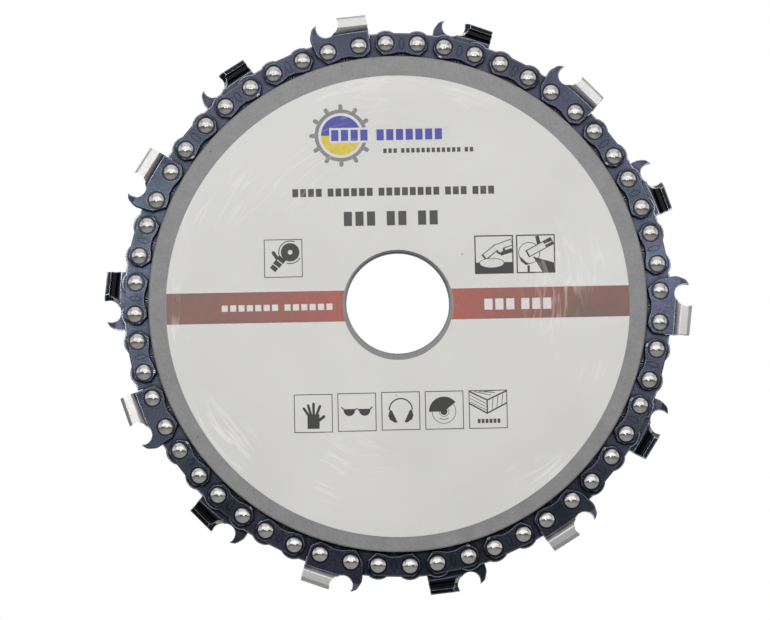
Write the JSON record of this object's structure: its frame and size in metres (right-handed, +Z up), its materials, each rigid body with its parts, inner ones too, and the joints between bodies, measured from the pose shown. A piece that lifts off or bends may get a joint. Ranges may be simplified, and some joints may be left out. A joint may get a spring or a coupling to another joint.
{
  "type": "angle grinder carving disc",
  "caption": "Two bored steel plates with a loop of saw chain riding in the groove round their rim, for carving wood on an angle grinder.",
  "frame": {"origin": "centre of the bore, at mid thickness of the disc", "axes": "+Y along the bore axis, away from the labelled front face; +Z up across the label's band; +X to the right seen from the front"},
  "size_m": [0.1268, 0.006, 0.1254],
  "materials": {
    "plate_steel": "dull ground steel",
    "label_paper": "coated paper, slightly glossy",
    "link_steel": "blued, oiled",
    "cutter_steel": "blued body with a bright hard-plated tooth",
    "rivet_steel": "bright spun heads"
  },
  "bodies": {
    "disc": {"front_plate": "plate_steel", "rear_plate": "plate_steel", "core_disc": "plate_steel", "plate_rivets": "plate_steel", "label": "label_paper"},
    "chain": {"drive_link_01": "link_steel", "drive_link_02": "link_steel", "drive_link_03": "link_steel", "drive_link_04": "link_steel", "drive_link_05": "link_steel", "drive_link_06": "link_steel", "drive_link_07": "link_steel", "drive_link_08": "link_steel", "drive_link_09": "link_steel", "drive_link_10": "link_steel", "drive_link_11": "link_steel", "drive_link_12": "link_steel", "drive_link_13": "link_steel", "drive_link_14": "link_steel", "drive_link_15": "link_steel", "drive_link_16": "link_steel", "drive_link_17": "link_steel", "drive_link_18": "link_steel", "drive_link_19": "link_steel", "drive_link_20": "link_steel", "drive_link_21": "link_steel", "drive_link_22": "link_steel", "drive_link_23": "link_steel", "drive_link_24": "link_steel", "drive_link_25": "link_steel", "drive_link_26": "link_steel", "drive_link_27": "link_steel", "drive_link_28": "link_steel", "cutter_front_01": "cutter_steel", "cutter_front_02": "cutter_steel", "cutter_front_03": "cutter_steel", "cutter_front_04": "cutter_steel", "cutter_front_05": "cutter_steel", "cutter_front_06": "cutter_steel", "cutter_front_07": "cutter_steel", "cutter_rear_01": "cutter_steel", "cutter_rear_02": "cutter_steel", "cutter_rear_03": "cutter_steel", "cutter_rear_04": "cutter_steel", "cutter_rear_05": "cutter_steel", "cutter_rear_06": "cutter_steel", "cutter_rear_07": "cutter_steel", "tie_straps_front": "link_steel", "tie_straps_rear": "link_steel", "cutter_straps_front": "link_steel", "cutter_straps_rear": "link_steel", "chain_rivets": "rivet_steel"}
  },
  "joints": [
    {"name": "chain_slip", "type": "hinge", "parent": "disc", "child": "chain", "pos_m": [0, 0, 0], "axis": [0, 1, 0], "continuous": true}
  ]
}
